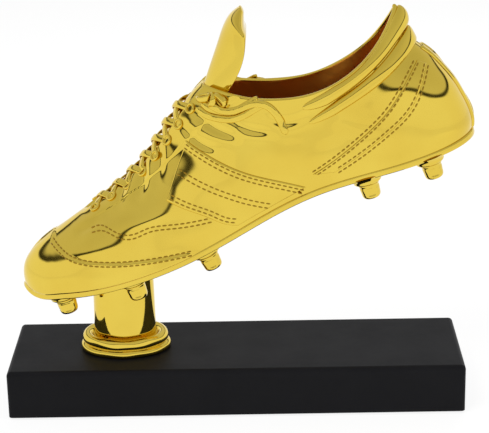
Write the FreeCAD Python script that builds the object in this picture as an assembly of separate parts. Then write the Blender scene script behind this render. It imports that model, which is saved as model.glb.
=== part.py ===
import FreeCAD, Part
import math
import os

from FreeCAD import Vector

# Figure trophy: a plated football boot on a pedestal, bolted to a black block.
# Millimetres. Origin at the centre of the felt's underside, +Z up, +X from the boot's toe
# to its heel, and -Y the outer (lateral) side of the boot.

# ---- driving dimensions ----
BASE_LENGTH = 285.0
BASE_DEPTH = 80.0
BASE_HEIGHT = 30.5
BASE_TOP_ROUND = 3.0
BASE_CORNER_ROUND = 2.5
FELT_THICKNESS = 1.5
FELT_INSET = 3.0

BOOT_LENGTH = 282.0  # toe to heel, level with the block
BOOT_WALL = 2.6
BOOT_LIFT = 0.0  # extra height of the boot above the block
OUTSOLE_THICKNESS = 4.2
OUTSOLE_MARGIN = 0.8
INSOLE_THICKNESS = 3.0

COLUMN_X = -70.5
COLUMN_RADIUS = 19.8
COLUMN_TOP_RADIUS = 19.0
OVAL = 0.76  # depth over width of the column and its foot
FOOT_WIDTH = 9.2  # how far the foot stands out past the column

BOLT_RADIUS = 4.0
BOLT_HEAD_FLATS = 13.0
BOLT_HEAD_HEIGHT = 5.3
WASHER_RADIUS = 8.5
WASHER_THICKNESS = 1.6
COUNTERBORE_RADIUS = 11.0
COUNTERBORE_DEPTH = 12.0
INSERT_RADIUS = 6.0
INSERT_LENGTH = 18.0
BOSS_RADIUS = 11.0
DOWEL_RADIUS = 2.5
DOWEL_LENGTH = 14.0
DOWEL_SPREAD = 11.5

STUD_RADIUS = 6.4
STUD_TIP_RADIUS = 5.0
STUD_HEIGHT = 10.2
STUD_SHANK_RADIUS = 2.5
STUD_SHANK_LENGTH = 5.0
STUD_FLATS = 10.4
STUD_FLANGE = 1.6
STUD_TIP_ROUND = 1.2
BOSS_FOOT_RADIUS = 10.0
BOSS_RIM_RADIUS = 8.0
BOSS_HEIGHT = 3.6

LACE_RADIUS = 1.1
LACE_ROWS = 7
EYELET_RADIUS = 2.9
EYELET_WIRE = 0.8
EYELET_HEIGHT = 0.7
LACE_INSET = 0.2  # how far a row stops short of its eyelets, as a share of their spacing
KNOT_RADIUS = 3.4
BOW_LIFT = 2.5

# ---- clearances ----
GLUE = 0.15  # film under a piece that is bonded to the boot
BOLT_GAP = 0.4
THREAD_GAP = 0.05
SLIP_GAP = 0.1
TALL = 300.0  # higher than the whole trophy

# ---- the boot's form, at its nominal length, as (x, height above the block) ----
NOMINAL_LENGTH = 282.0
SOLE_LINE = [(-134, 50), (-124, 45.5), (-110, 47.5), (-87, 53.5), (-50, 65), (-25, 75), (0, 87.5),
             (25, 101), (50, 112.5), (75, 121), (100, 128.5), (125, 136.5), (149, 144)]
TOE_LINE = [(-131.5, 46), (-132, 55), (-129.5, 62), (-124.5, 69), (-117, 76), (-107, 83.5), (-96, 91.5),
            (-85, 98), (-74, 106), (-64, 115), (-54, 126), (-46, 137), (-39, 148), (-32, 158.5),
            (-26, 167), (-19, 174)]
RIM_LINE = [(-19, 174), (-8, 172), (8, 169), (25, 168), (42, 169.5), (56, 173.5), (68, 179.5),
            (78, 187), (87.5, 197.5), (94.5, 208.5), (100, 219)]
HEEL_LINE = [(146.5, 140.5), (147, 149), (144.5, 157), (140, 165), (134.5, 174), (128, 182.5), (121, 190),
             (114, 195), (109, 199.5), (106, 206), (103.5, 214), (100, 219)]
# Half girths at eight even steps from toe to heel, on four levels from the sole to the rim.
OUTER_GIRTH = [[50, 52, 51, 43, 31.5, 30.5, 43.5, 57, 62], [50, 52, 47, 36.5, 31, 31, 42, 55, 60],
               [38, 39, 38, 33, 29, 27, 33, 38, 40], [32, 31, 29.7, 27, 25.5, 23, 17.5, 13, 12]]
INNER_GIRTH = [[50, 54, 51, 41, 27.5, 27.5, 42, 57, 62], [50, 52, 47, 36, 29.5, 30, 41, 55, 60],
               [38, 39, 38, 33, 29, 27, 33, 38, 40], [32, 31, 29.7, 27, 25.5, 23, 17.5, 13, 12]]
SOLE_OVERLAP = 2.0  # how far the upper's form runs below the sole line before it is trimmed

# ---- places on the boot, at its nominal length ----
STUD_PLACES = [(-108, 15.5), (-64, 25.0), (-19.5, 22.5), (80, 21.5), (117.5, 21.0)]  # x, distance off centre
SADDLE_TOP = [(-27, 143), (-9, 133), (12, 124), (30, 119), (45, 114.5)]
SADDLE_LOW = [(-40, 108), (-26, 102), (-13, 97), (-4, 93), (3, 92)]
STRAP_FRONT = [(111.5, 189), (104.5, 178), (93.5, 161), (79, 146), (61, 131), (48, 122)]
STRAP_BACK = [(117.5, 187), (113.5, 175), (108, 163), (96, 150), (77, 134), (62, 123.5)]
BOW_LOOP = [(-18, 161.5), (-14, 158.5), (-8, 157), (4, 157.5), (12, 161.5), (20, 166)]
KNOT_LINE = [(-17, 166.5), (-12, 167.5), (-7, 166), (-2.5, 167.5)]
KNOT_TURNS = 3
COLLAR_ROLL = (0.925, 0.06, 2.6, 0.52)  # level, half width, rise, and where its front ends stop
COLLAR_BAND = (0.79, 0.055, 2.6, 0.56)
HEEL_STRIP_HALF = 5.5
HEEL_STRIP_RISE = 1.2
HEEL_STRIP_LEVELS = (0.05, 0.69)
PANEL_RISE = 0.8

# ---- the tongue, at its nominal length: its front line, then sizes against a share of that line ----
TONGUE_LINE = [(-28, 155), (-23, 163), (-17.8, 170), (-14, 179), (-10.5, 189), (-7, 199),
               (-3.5, 208.5), (0.5, 215), (6, 219.5)]
TONGUE_HALF_WIDTH = [(0, 9), (0.2, 13), (0.4, 18), (0.6, 20.5), (0.8, 19.5), (0.92, 15.5), (1, 6)]
TONGUE_THICKNESS = [(0, 3), (0.3, 5), (0.6, 9), (0.8, 13), (0.92, 12), (1, 5)]
TONGUE_BEND = [(0, 6), (0.3, 11), (0.6, 12), (0.8, 6.5), (0.92, 2), (1, 0)]


def natural_spline(stations, values):
    """Cubic spline through values at stations, with straight ends."""
    n = len(stations)
    step = [stations[i + 1] - stations[i] for i in range(n - 1)]
    low, mid, high, right = [0.0] * n, [1.0] * n, [0.0] * n, [0.0] * n
    for i in range(1, n - 1):
        low[i], mid[i], high[i] = step[i - 1], 2 * (step[i - 1] + step[i]), step[i]
        rise = (values[i + 1] - values[i]) / step[i]
        right[i] = 6 * (rise - (values[i] - values[i - 1]) / step[i - 1])
    for i in range(1, n):
        share = low[i] / mid[i - 1]
        mid[i] -= share * high[i - 1]
        right[i] -= share * right[i - 1]
    bend = [0.0] * n
    for i in range(n - 2, 0, -1):
        bend[i] = (right[i] - high[i] * bend[i + 1]) / mid[i]

    def at(t):
        i = 0
        while i < n - 2 and t > stations[i + 1]:
            i += 1
        a, b, h = stations[i + 1] - t, t - stations[i], step[i]
        cubic = (bend[i] * a ** 3 + bend[i + 1] * b ** 3) / (6 * h)
        return cubic + (values[i] / h - bend[i] * h / 6) * a + (values[i + 1] / h - bend[i + 1] * h / 6) * b

    return at


def line_through(points):
    """A smooth line through (x, z) points, called with a share of its length from 0 to 1."""
    run = [0.0]
    for a, b in zip(points, points[1:]):
        run.append(run[-1] + math.hypot(b[0] - a[0], b[1] - a[1]))
    share = [r / run[-1] for r in run]
    along = natural_spline(share, [p[0] for p in points])
    up = natural_spline(share, [p[1] for p in points])
    return lambda t: (along(t), up(t))


SCALE = BOOT_LENGTH / NOMINAL_LENGTH
BLOCK_TOP = FELT_THICKNESS + BASE_HEIGHT
SOLE_HEIGHT = natural_spline([p[0] for p in SOLE_LINE], [p[1] for p in SOLE_LINE])
BOTTOM_STEPS = 40
UPPER_RINGS = 14
SOLVE_ROUNDS = 50
TUBE_SIDES = 8


def bottom_line():
    """The upper's lower edge: the sole line from toe to heel, lowered by the overlap."""
    first, last = TOE_LINE[0][0], HEEL_LINE[0][0]
    xs = [first + (last - first) * i / BOTTOM_STEPS for i in range(BOTTOM_STEPS + 1)]
    points = [(x, SOLE_HEIGHT(x) - SOLE_OVERLAP) for x in xs]
    points[0], points[-1] = TOE_LINE[0], HEEL_LINE[0]
    return points


EDGES = {name: line_through(points) for name, points in
         (("bottom", bottom_line()), ("rim", RIM_LINE), ("toe", TOE_LINE), ("heel", HEEL_LINE))}
LEVELS = [0, 1 / 3, 2 / 3, 1]
GIRTHS = {side: [natural_spline([i / 8 for i in range(9)], row) for row in table]
          for side, table in ((-1, OUTER_GIRTH), (1, INNER_GIRTH))}


def boot_point(around, level, side):
    """A point of the boot's outer skin. around runs from toe (0) to heel (1), level from the sole (0)
    to the rim (1), and side is -1 on the outer side and 1 on the inner side."""
    s = (1 - math.cos(math.pi * around)) / 2
    bottom, rim = EDGES["bottom"](s), EDGES["rim"](s)
    toe, heel = EDGES["toe"](level), EDGES["heel"](level)
    flat = []
    for k in (0, 1):
        corners = (1 - s) * ((1 - level) * TOE_LINE[0][k] + level * TOE_LINE[-1][k])
        corners += s * ((1 - level) * HEEL_LINE[0][k] + level * HEEL_LINE[-1][k])
        flat.append((1 - level) * bottom[k] + level * rim[k] + (1 - s) * toe[k] + s * heel[k] - corners)
    girth = natural_spline(LEVELS, [row(around) for row in GIRTHS[side]])(level)
    y = side * math.sin(math.pi * around) * girth
    return Vector(flat[0] * SCALE, y * SCALE, BLOCK_TOP + BOOT_LIFT + flat[1] * SCALE)


def boot_normal(around, level, side):
    """The skin's outward normal."""
    d = 1e-3
    a0, a1 = max(around - d, 0.002), min(around + d, 0.998)
    a0, a1 = min(a0, 0.997), max(a1, 0.003)
    v0, v1 = max(level - d, 0), min(level + d, 1)
    here = min(max(around, 0.002), 0.998)
    across = boot_point(a1, level, side) - boot_point(a0, level, side)
    up = boot_point(here, v1, side) - boot_point(here, v0, side)
    normal = across.cross(up)
    if around <= 0.002 or around >= 0.998:
        normal.y = 0
    normal.normalize()
    return normal * -side


def on_skin(around, level, side, height):
    """A point at a height above the boot's skin, or below it where the height is negative."""
    point = boot_point(around, level, side) + boot_normal(around, level, side) * height
    shut = 0.4 * abs(boot_point(around, level, side).y)
    if height < 0 and abs(point.y) < shut or point.y * side < 0:
        point.y = side * shut
    return point


def solve(miss, around, level):
    """The place on the skin where both values of miss(around, level) are zero."""
    d = 1e-4
    for _ in range(30):
        m = miss(around, level)
        ma, mv = miss(around + d, level), miss(around, level + d)
        a, b = (ma[0] - m[0]) / d, (mv[0] - m[0]) / d
        c, e = (ma[1] - m[1]) / d, (mv[1] - m[1]) / d
        det = a * e - b * c
        step_a, step_v = (m[0] * e - m[1] * b) / det, (m[1] * a - m[0] * c) / det
        limit = max(abs(step_a), abs(step_v), 0.1) / 0.1
        around = min(max(around - step_a / limit, 0.004), 0.996)
        level = min(max(level - step_v / limit, 0), 0.999)
    return around, level


def place_in_side_view(x, z, side):
    """The skin place seen at (x, height above the block) in the side view."""
    def miss(around, level):
        p = boot_point(around, level, side)
        return p.x - x * SCALE, p.z - BLOCK_TOP - BOOT_LIFT - z * SCALE

    return solve(miss, 0.5, 0.5)


def place_across(level, off, side):
    """The skin place at a distance off centre, straight across the instep from a level on the toe line."""
    ridge = boot_point(0, level, side)
    along = boot_point(0, min(level + 0.01, 1), side) - boot_point(0, level - 0.01, side)

    def miss(around, lev):
        p = boot_point(around, lev, side)
        return abs(p.y) - off, (p - ridge).dot(along) / along.Length

    return solve(miss, 0.12, level - 0.02)


def poles_through(points, closed):
    """Poles of the smooth spline through evenly spaced points."""
    poles = list(points)
    for _ in range(SOLVE_ROUNDS):
        before = poles[-1] if closed else poles[0] * 2 - poles[1]
        after = poles[0] if closed else poles[-1] * 2 - poles[-2]
        line = [before] + poles + [after]
        poles = [(points[i] * 6 - line[i] - line[i + 2]) * 0.25 for i in range(len(points))]
    return poles


def skin(sections):
    """A smooth face through closed sections that all have the same number of points."""
    rings = [poles_through(section, True) for section in sections]
    grid = []
    for i in range(len(sections[0])):
        c = poles_through([ring[i] for ring in rings], False)
        near_start, near_end = (c[0] * 2 + c[1]) * (1 / 3), (c[-1] * 2 + c[-2]) * (1 / 3)
        grid.append([c[0], near_start] + c[1:-1] + [near_end, c[-1]])
    round_knots = [float(i) for i in range(len(grid) + 1)]
    along_knots = [float(i) for i in range(len(sections))]
    along_mults = [4] + [1] * (len(sections) - 2) + [4]
    surface = Part.BSplineSurface()
    surface.buildFromPolesMultsKnots(grid, [1] * len(round_knots), along_mults, round_knots, along_knots,
                                     True, False, 3, 3)
    return surface.toShape()


def flattened(section):
    """The section, moved onto the plane it lies nearest to."""
    centre = Vector()
    for point in section:
        centre += point * (1 / len(section))
    normal = Vector()
    for a, b in zip(section, section[1:] + section[:1]):
        normal += (a - centre).cross(b - centre)
    normal.normalize()
    return [p - normal * (p - centre).dot(normal) for p in section]


def sewn(faces):
    shell = Part.Compound(faces)
    shell.sewShape()
    solid = Part.Solid(shell.Shells[0])
    if solid.Volume < 0:
        solid.reverse()
    return solid


def solid_through(sections):
    """A solid through closed sections, with flat ends."""
    side = skin([flattened(sections[0])] + sections[1:-1] + [flattened(sections[-1])])
    caps = [Part.Face(Part.Wire([edge])) for edge in side.Edges if edge.isClosed()]
    return sewn([side] + caps)


def flat_outline(points):
    """A face inside a smooth closed line through points in one plane."""
    curve = Part.BSplineCurve()
    knots = [float(i) for i in range(len(points) + 1)]
    curve.interpolate(Points=points, Parameters=knots, PeriodicFlag=True)
    return Part.Face(Part.Wire([curve.toShape()]))


def open_edge(points):
    curve = Part.BSplineCurve()
    curve.interpolate(Points=points)
    return curve.toShape()


def tube(points, radii):
    """A round bar through points, with a radius at each. Its sections don't twist along the way."""
    sections = []
    side = Vector(0, 0, 1)
    for i, (point, radius) in enumerate(zip(points, radii)):
        ahead = points[min(i + 1, len(points) - 1)] - points[max(i - 1, 0)]
        ahead.normalize()
        side = side - ahead * side.dot(ahead)
        side.normalize()
        other = ahead.cross(side)
        section = []
        for k in range(TUBE_SIDES):
            turn = 2 * math.pi * k / TUBE_SIDES
            section.append(point + side * (radius * math.cos(turn)) + other * (radius * math.sin(turn)))
        sections.append(section)
    return solid_through(sections)


def ring_points(level, height, steps=20):
    """Points all round the boot at one level: out along the outer side, and back along the inner side."""
    out = [on_skin(i / steps, level, -1, height) for i in range(steps + 1)]
    back = [on_skin(i / steps, level, 1, height) for i in range(steps - 1, 0, -1)]
    return out + back


def sole_edge(drop):
    """The sole line as one edge, lowered square to itself by drop."""
    points = []
    for x in range(-150, 161, 10):
        slope = (SOLE_HEIGHT(x + 1) - SOLE_HEIGHT(x - 1)) / 2
        length = math.hypot(1, slope)
        px, pz = x * SCALE + drop * slope / length, SOLE_HEIGHT(x) * SCALE - drop / length
        points.append(Vector(px, 0, BLOCK_TOP + BOOT_LIFT + pz))
    return open_edge(points)


def band_below(drop, bottom_drop=None):
    """A wide slab below the sole line, down to the ground or down to a second drop."""
    half = 80.0 * SCALE
    top = sole_edge(drop)
    first, last = top.valueAt(top.FirstParameter), top.valueAt(top.LastParameter)
    if bottom_drop is None:
        ground = -20.0
        corners = [last, Vector(last.x, 0, ground), Vector(first.x, 0, ground), first]
        wire = Part.Wire([top] + Part.makePolygon(corners).Edges)
    else:
        low = sole_edge(bottom_drop)
        low_first, low_last = low.valueAt(low.FirstParameter), low.valueAt(low.LastParameter)
        ends = [Part.makeLine(last, low_last), Part.makeLine(low_first, first)]
        wire = Part.Wire(Part.__sortEdges__([top, ends[0], low, ends[1]]))
    face = Part.Face(wire)
    face.translate(Vector(0, -half, 0))
    return face.extrude(Vector(0, 2 * half, 0))


def outline_prism(height):
    """A tall prism on the boot's plan outline, grown by height, or shrunk where it is negative."""
    flat = [Vector(p.x, p.y, 0) for p in ring_points(0.03, height)]
    return flat_outline(flat).extrude(Vector(0, 0, 400 * SCALE))


def upper():
    """The hollow boot: an outer and an inner skin joined at the rim and below the sole line."""
    levels = [i / UPPER_RINGS for i in range(UPPER_RINGS + 1)]
    outer = skin([ring_points(level, 0) for level in levels])
    inner = skin([ring_points(level, -BOOT_WALL) for level in levels])
    faces = [outer, inner]
    rims = [sorted((e for e in face.Edges if e.isClosed()), key=lambda e: e.CenterOfMass.z)
            for face in (outer, inner)]
    for k in (0, 1):
        faces.append(Part.makeRuledSurface(rims[0][k], rims[1][k]))
    return sewn(faces).cut(band_below(0))


def stud_frame(place, side):
    """Where a stud's axis meets the outsole's underside, and its direction downwards."""
    x, off = place
    slope = (SOLE_HEIGHT(x + 1) - SOLE_HEIGHT(x - 1)) / 2
    down = Vector(slope, 0, -1)
    down.normalize()
    top = Vector(x * SCALE, side * off * SCALE, BLOCK_TOP + BOOT_LIFT + SOLE_HEIGHT(x) * SCALE)
    return top + down * OUTSOLE_THICKNESS, down


def stud(place, side):
    seat, down = stud_frame(place, side)
    start = seat + down * (BOSS_HEIGHT + SLIP_GAP)
    flange = Part.makeCylinder(STUD_RADIUS, STUD_FLANGE, start, down)
    cone_start = start + down * STUD_FLANGE
    cone = Part.makeCone(STUD_RADIUS - 0.5, STUD_TIP_RADIUS, STUD_HEIGHT - STUD_FLANGE, cone_start, down)
    circles = [e for e in cone.Edges if isinstance(e.Curve, Part.Circle)]
    rim = [e for e in circles if abs(e.Curve.Radius - STUD_TIP_RADIUS) < 1e-6]
    cone = cone.makeFillet(STUD_TIP_ROUND, rim)
    shank = Part.makeCylinder(STUD_SHANK_RADIUS, STUD_SHANK_LENGTH, start, down * -1)
    body = flange.fuse(cone).fuse(shank)
    upright = FreeCAD.Placement(start, FreeCAD.Rotation(Vector(0, 0, 1), down))
    for low_y in (STUD_FLATS / 2, -STUD_FLATS / 2 - 20):
        block = Part.makeBox(30, 20, STUD_HEIGHT * 0.5)
        block.translate(Vector(-15, low_y, 3.0))
        block.Placement = upright.multiply(block.Placement)
        body = body.cut(block)
    return body


def outsole():
    plate = band_below(0, OUTSOLE_THICKNESS).common(outline_prism(OUTSOLE_MARGIN))
    for place in STUD_PLACES:
        for side in (-1, 1):
            seat, down = stud_frame(place, side)
            boss = Part.makeCone(BOSS_FOOT_RADIUS, BOSS_RIM_RADIUS, BOSS_HEIGHT + 1, seat - down, down)
            plate = plate.fuse(boss)
    for place in STUD_PLACES:
        for side in (-1, 1):
            seat, down = stud_frame(place, side)
            hole_depth = STUD_SHANK_LENGTH + 0.5
            bore = Part.makeCylinder(STUD_SHANK_RADIUS + THREAD_GAP, hole_depth,
                                     seat + down * (BOSS_HEIGHT + SLIP_GAP), down * -1)
            plate = plate.cut(bore)
    return plate.cut(bolt_hole(BOLT_RADIUS + BOLT_GAP, 0, TALL)).removeSplitter()


def bolt_hole(radius, low, high):
    return Part.makeCylinder(radius, high - low, Vector(COLUMN_X * SCALE, 0, low))


def sole_height_at_column():
    return BLOCK_TOP + BOOT_LIFT + SOLE_HEIGHT(COLUMN_X) * SCALE


def boss_top():
    return sole_height_at_column() + INSERT_LENGTH + INSOLE_THICKNESS


def insole_board():
    board = band_below(-INSOLE_THICKNESS - GLUE, -GLUE).common(outline_prism(-BOOT_WALL - 0.6))
    boss = bolt_hole(BOSS_RADIUS, BLOCK_TOP, boss_top()).cut(band_below(-GLUE))
    board = board.fuse(boss).removeSplitter()
    return board.cut(bolt_hole(INSERT_RADIUS + THREAD_GAP, 0, boss_top() + 1))


def sole_insert():
    body = bolt_hole(INSERT_RADIUS, boss_top() - INSERT_LENGTH, boss_top())
    return body.cut(bolt_hole(BOLT_RADIUS + THREAD_GAP, 0, TALL))


def head_low():
    return FELT_THICKNESS + COUNTERBORE_DEPTH - WASHER_THICKNESS - BOLT_HEAD_HEIGHT


def clamp_bolt():
    x = COLUMN_X * SCALE
    corner = BOLT_HEAD_FLATS / math.sqrt(3)
    hexagon = [Vector(x + corner * math.cos(math.radians(60 * i)), corner * math.sin(math.radians(60 * i)),
                      head_low()) for i in range(7)]
    head = Part.Face(Part.makePolygon(hexagon)).extrude(Vector(0, 0, BOLT_HEAD_HEIGHT))
    shank = bolt_hole(BOLT_RADIUS, head_low(), boss_top() - 2)
    return head.fuse(shank).removeSplitter()


def clamp_washer():
    low = head_low() + BOLT_HEAD_HEIGHT
    ring = bolt_hole(WASHER_RADIUS, low, low + WASHER_THICKNESS)
    return ring.cut(bolt_hole(BOLT_RADIUS + BOLT_GAP, 0, TALL))


def dowel_places():
    return [Vector(COLUMN_X * SCALE + way * DOWEL_SPREAD, 0, 0) for way in (-1, 1)]


def locating_dowels():
    bars = []
    for place in dowel_places():
        low = place + Vector(0, 0, BLOCK_TOP - DOWEL_LENGTH / 2)
        bars.append(Part.makeCylinder(DOWEL_RADIUS, DOWEL_LENGTH, low))
    return Part.Compound(bars)


def dowel_holes():
    length = DOWEL_LENGTH + 1
    low = Vector(0, 0, BLOCK_TOP - length / 2)
    radius = DOWEL_RADIUS + THREAD_GAP
    return [Part.makeCylinder(radius, length, place + low) for place in dowel_places()]


def oval(radius, z):
    centre = Vector(COLUMN_X * SCALE, 0, z)
    wide = centre + Vector(radius, 0, 0)
    deep = centre + Vector(0, radius * OVAL, 0)
    return Part.Wire([Part.Ellipse(wide, deep, centre).toShape()])


def pedestal_column():
    top = oval(COLUMN_TOP_RADIUS, sole_height_at_column() + 15)
    body = Part.makeLoft([oval(COLUMN_RADIUS, BLOCK_TOP), top], True)
    body = body.common(band_below(OUTSOLE_THICKNESS))
    body = body.cut(bolt_hole(BOLT_RADIUS + BOLT_GAP, 0, TALL))
    for hole in dowel_holes():
        body = body.cut(hole)
    return body


def pedestal_foot():
    """A stepped ring: a low outer bead, a groove, and a fatter bead with a hollow round the column."""
    r = COLUMN_RADIUS + FOOT_WIDTH
    inner = COLUMN_RADIUS + SLIP_GAP
    path = [(inner, 0), (r - 1.5, 0), (r, 2.2), (r - 1.2, 4.6), (r - 2.6, 5.2), (r - 1.6, 8.2),
            (r - 4.2, 11.6), (r - 6.6, 11.2), (r - 8.2, 9.4), (inner, 11.8)]
    bottom = Part.makeLine(Vector(inner, 0, 0), Vector(r - 1.5, 0, 0))
    bead = open_edge([Vector(a, 0, b) for a, b in path[1:5]])
    roll = open_edge([Vector(a, 0, b) for a, b in path[4:]])
    bore = Part.makeLine(Vector(inner, 0, path[-1][1]), Vector(inner, 0, 0))
    ring = Part.Face(Part.Wire([bottom, bead, roll, bore])).revolve(Vector(0, 0, 0), Vector(0, 0, 1), 360)
    squash = FreeCAD.Matrix()
    squash.scale(Vector(1, OVAL, 1))
    ring = ring.transformGeometry(squash)
    ring.translate(Vector(COLUMN_X * SCALE, 0, BLOCK_TOP))
    return ring


def base_block():
    block = Part.makeBox(BASE_LENGTH, BASE_DEPTH, BASE_HEIGHT,
                         Vector(-BASE_LENGTH / 2, -BASE_DEPTH / 2, FELT_THICKNESS))
    upright = [e for e in block.Edges if abs(e.tangentAt(e.FirstParameter).z) > 0.9]
    block = block.makeFillet(BASE_CORNER_ROUND, upright)
    top = [e for e in block.Edges if min(v.Z for v in e.Vertexes) > BLOCK_TOP - 0.01]
    block = block.makeFillet(BASE_TOP_ROUND, top)
    block = block.cut(bolt_hole(BOLT_RADIUS + BOLT_GAP, 0, TALL))
    block = block.cut(bolt_hole(COUNTERBORE_RADIUS, 0, FELT_THICKNESS + COUNTERBORE_DEPTH))
    for hole in dowel_holes():
        block = block.cut(hole)
    return block


def base_felt():
    felt = Part.makeBox(BASE_LENGTH - 2 * FELT_INSET, BASE_DEPTH - 2 * FELT_INSET, FELT_THICKNESS,
                        Vector(FELT_INSET - BASE_LENGTH / 2, FELT_INSET - BASE_DEPTH / 2, 0))
    return felt.cut(bolt_hole(COUNTERBORE_RADIUS, -1, FELT_THICKNESS + 1))


def tongue():
    """A padded tongue: thick, bent sections along a line that leaves the throat and stands up."""
    ridge = line_through(TONGUE_LINE)
    width, thick, bend = (natural_spline([share for share, _ in table], [size for _, size in table])
                          for table in (TONGUE_HALF_WIDTH, TONGUE_THICKNESS, TONGUE_BEND))
    sections = []
    for i in range(13):
        t = i / 12
        x, z = ridge(t)
        ahead, behind = ridge(min(t + 0.01, 1)), ridge(max(t - 0.01, 0))
        tx, tz = ahead[0] - behind[0], ahead[1] - behind[1]
        length = math.hypot(tx, tz)
        back = Vector(tz / length, 0, -tx / length)
        points = []
        for k in range(16):
            angle = 2 * math.pi * k / 16
            across, deep = math.cos(angle), math.sin(angle)
            offset = thick(t) / 2 * (1 + deep) + bend(t) * across ** 2
            start = Vector(x * SCALE, across * width(t) * SCALE, BLOCK_TOP + BOOT_LIFT + z * SCALE)
            points.append(start + back * offset * SCALE)
        sections.append(points)
    return solid_through(sections)


def overlay(stations):
    """A solid on the boot's skin. Each station is a closed section of (place, height) pairs, and a place
    is (around, level, side)."""
    return solid_through([[on_skin(*place, height) for place, height in section] for section in stations])


def collar(level, spread, rise, front):
    """A padded roll round the back of the rim, from a front station on each side."""
    stations = []
    steps = 22
    for i in range(steps + 1):
        t = -1 + 2 * i / steps
        side = -1 if t < 0 else 1
        around = 1 - abs(t) * (1 - front)
        taper = min(1, 0.25 + 3.0 * (1 - abs(t)))
        section = []
        for k in range(12):
            angle = 2 * math.pi * k / 12
            height = GLUE + rise * taper * (1 + math.sin(angle)) / 2
            section.append(((around, level + spread * taper * math.cos(angle), side), height))
        stations.append(section)
    return overlay(stations)


def heel_strip():
    """The raised strip up the back of the heel."""
    stations = []
    half = HEEL_STRIP_HALF * SCALE
    low, high = HEEL_STRIP_LEVELS
    for i in range(13):
        level = low + (high - low) * i / 12
        section = []
        for k in range(12):
            angle = 2 * math.pi * k / 12
            y = half * math.cos(angle)
            side = -1 if y < 0 else 1
            girth = abs(boot_point(0.98, level, side).y) / math.sin(math.pi * 0.98)
            around = 1 - math.asin(min(abs(y) / girth, 1)) / math.pi
            section.append(((around, level, side), GLUE + HEEL_STRIP_RISE / 2 * (1 + math.sin(angle))))
        stations.append(section)
    return overlay(stations)


def panel(low, high, side):
    """A thin overlay on the boot's side between two lines drawn in the side view."""
    low_line, high_line = line_through(low), line_through(high)
    stations = []
    steps, across = 14, 7
    for i in range(steps + 1):
        t = i / steps
        a, b = low_line(t), high_line(t)
        places = []
        for k in range(across):
            s = k / (across - 1)
            places.append(place_in_side_view(a[0] + (b[0] - a[0]) * s, a[1] + (b[1] - a[1]) * s, side))
        section = [((u, v, side), GLUE + PANEL_RISE) for u, v in places]
        section += [((u, v, side), GLUE) for u, v in reversed(places)]
        stations.append(section)
    return overlay(stations)


def eyelet_levels():
    return [0.42 + 0.50 * i / LACE_ROWS for i in range(LACE_ROWS + 1)]


def eyelet_off(i):
    return (8.5 + 4.5 * i / LACE_ROWS) * SCALE


def eyelets(side):
    rings = []
    for i, level in enumerate(eyelet_levels()):
        around, lev = place_across(level, eyelet_off(i), side)
        normal = boot_normal(around, lev, side)
        seat = on_skin(around, lev, side, GLUE)
        ring = Part.makeCylinder(EYELET_RADIUS + EYELET_WIRE, EYELET_HEIGHT, seat, normal)
        rings.append(ring.cut(Part.makeCylinder(EYELET_RADIUS - EYELET_WIRE, EYELET_HEIGHT, seat, normal)))
    return Part.Compound(rings)


def lace_row(i):
    """Two strands that cross over the instep between one pair of eyelets and the next."""
    levels = eyelet_levels()
    inset = (levels[i + 1] - levels[i]) * LACE_INSET
    first, last = levels[i] + inset, levels[i + 1] - inset
    strands = []
    for layer, start_side in enumerate((-1, 1)):
        points = []
        for k in range(9):
            t = k / 8
            level = first + (last - first) * t
            off = (eyelet_off(i) + (eyelet_off(i + 1) - eyelet_off(i)) * t) * (1 - 2 * t)
            side = start_side if off > 0 else -start_side
            middle = math.sin(math.pi * t) ** 2
            lift = GLUE + LACE_RADIUS + (GLUE + EYELET_HEIGHT) * (1 - middle ** 2)
            lift += layer * (2 * LACE_RADIUS + GLUE) * middle
            place = (0, level) if abs(off) < 0.01 else place_across(level, abs(off), side)
            points.append(on_skin(*place, side, lift))
        strands.append(tube(points, [LACE_RADIUS] * len(points)))
    return Part.Compound(strands)


def bow_loop(side):
    """A loop of lace that lies on the boot's side along a line drawn in the side view."""
    path = line_through(BOW_LOOP)
    points = []
    for k in range(9):
        x, z = path(k / 8)
        points.append(on_skin(*place_in_side_view(x, z, side), side, BOW_LIFT))
    return tube(points, [LACE_RADIUS] * len(points))


def lace_knot():
    """The tied knot: a bar with a swelling for each crumpled turn, beside the throat on the outer side."""
    path = line_through(KNOT_LINE)
    points, radii = [], []
    for k in range(13):
        t = k / 12
        swelling = 0.85 - 0.15 * math.cos(2 * math.pi * KNOT_TURNS * t)
        points.append(on_skin(*place_in_side_view(*path(t), -1), -1, KNOT_RADIUS + GLUE))
        radii.append(KNOT_RADIUS * SCALE * swelling)
    return tube(points, radii)


NODES = {
    "base_block": base_block,
    "base_felt": base_felt,
    "clamp_bolt": clamp_bolt,
    "clamp_washer": clamp_washer,
    "locating_dowels": locating_dowels,
    "pedestal_foot": pedestal_foot,
    "pedestal_column": pedestal_column,
    "outsole": outsole,
    "insole_board": insole_board,
    "sole_insert": sole_insert,
    "upper": upper,
    "tongue": tongue,
    "collar_roll": lambda: collar(*COLLAR_ROLL),
    "collar_band": lambda: collar(*COLLAR_BAND),
    "heel_strip": heel_strip,
    "saddle_outer": lambda: panel(SADDLE_LOW, SADDLE_TOP, -1),
    "saddle_inner": lambda: panel(SADDLE_LOW, SADDLE_TOP, 1),
    "strap_outer": lambda: panel(STRAP_FRONT, STRAP_BACK, -1),
    "strap_inner": lambda: panel(STRAP_FRONT, STRAP_BACK, 1),
    "lace_knot": lace_knot,
    "bow_loop_outer": lambda: bow_loop(-1),
    "bow_loop_inner": lambda: bow_loop(1),
    "eyelets_outer": lambda: eyelets(-1),
    "eyelets_inner": lambda: eyelets(1),
}
for number in range(LACE_ROWS):
    NODES[f"lace_row_{number + 1}"] = lambda number=number: lace_row(number)
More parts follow.
